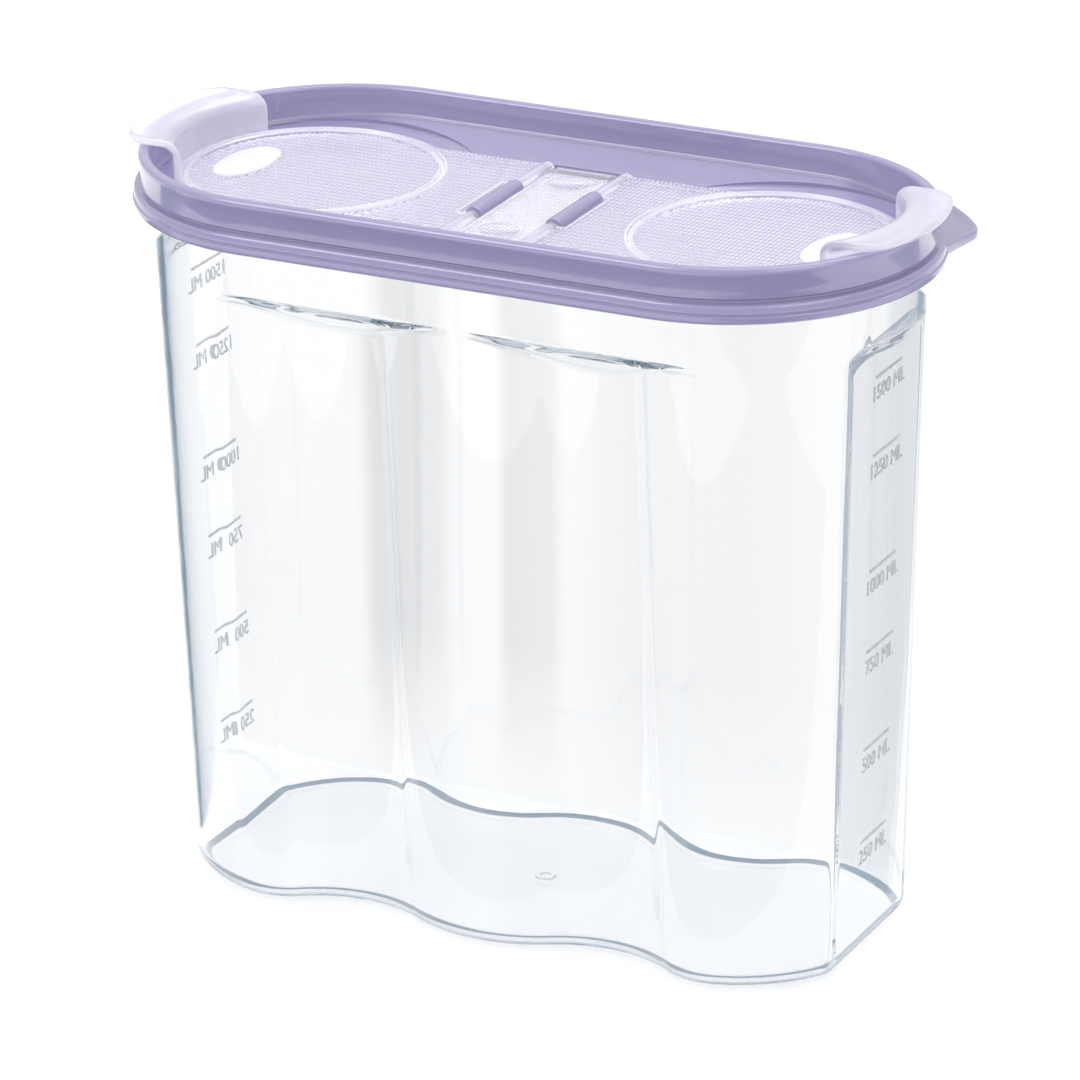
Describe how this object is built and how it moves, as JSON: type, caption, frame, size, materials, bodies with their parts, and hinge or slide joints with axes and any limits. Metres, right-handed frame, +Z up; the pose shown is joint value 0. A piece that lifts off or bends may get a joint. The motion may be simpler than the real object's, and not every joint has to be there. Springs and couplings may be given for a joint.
{
  "type": "cereal dispenser",
  "caption": "Clear fluted storage tub with an oval lavender lid and two clear textured pour flaps with curved lift handles.",
  "frame": {"origin": "middle of the tub's underside", "axes": "+X along the long sides, +Y across to the back, +Z up"},
  "size_m": [0.1968, 0.0941, 0.1772],
  "materials": {
    "clear_tub": "clear, polished polypropylene or polystyrene",
    "lavender_lid": "semi-gloss moulded lavender",
    "clear_flap": "clear, with a fine moulded grid texture"
  },
  "bodies": {
    "tub": {"container": "clear_tub"},
    "lid": {"lid_frame": "lavender_lid", "centre_strip": "clear_flap"},
    "left_flap": {"left_flap": "clear_flap"},
    "right_flap": {"right_flap": "clear_flap"}
  },
  "joints": [
    {"name": "lid_lift", "type": "slide", "parent": "tub", "child": "lid", "axis": [0, 0, 1], "range_m": [0, 0.06]},
    {"name": "left_flap_hinge", "type": "hinge", "parent": "lid", "child": "left_flap", "pos_m": [-0.01, 0, 0.1664], "axis": [0, 1, 0], "range_deg": [0, 85]},
    {"name": "right_flap_hinge", "type": "hinge", "parent": "lid", "child": "right_flap", "pos_m": [0.01, 0, 0.1664], "axis": [0, -1, 0], "range_deg": [0, 85]}
  ]
}
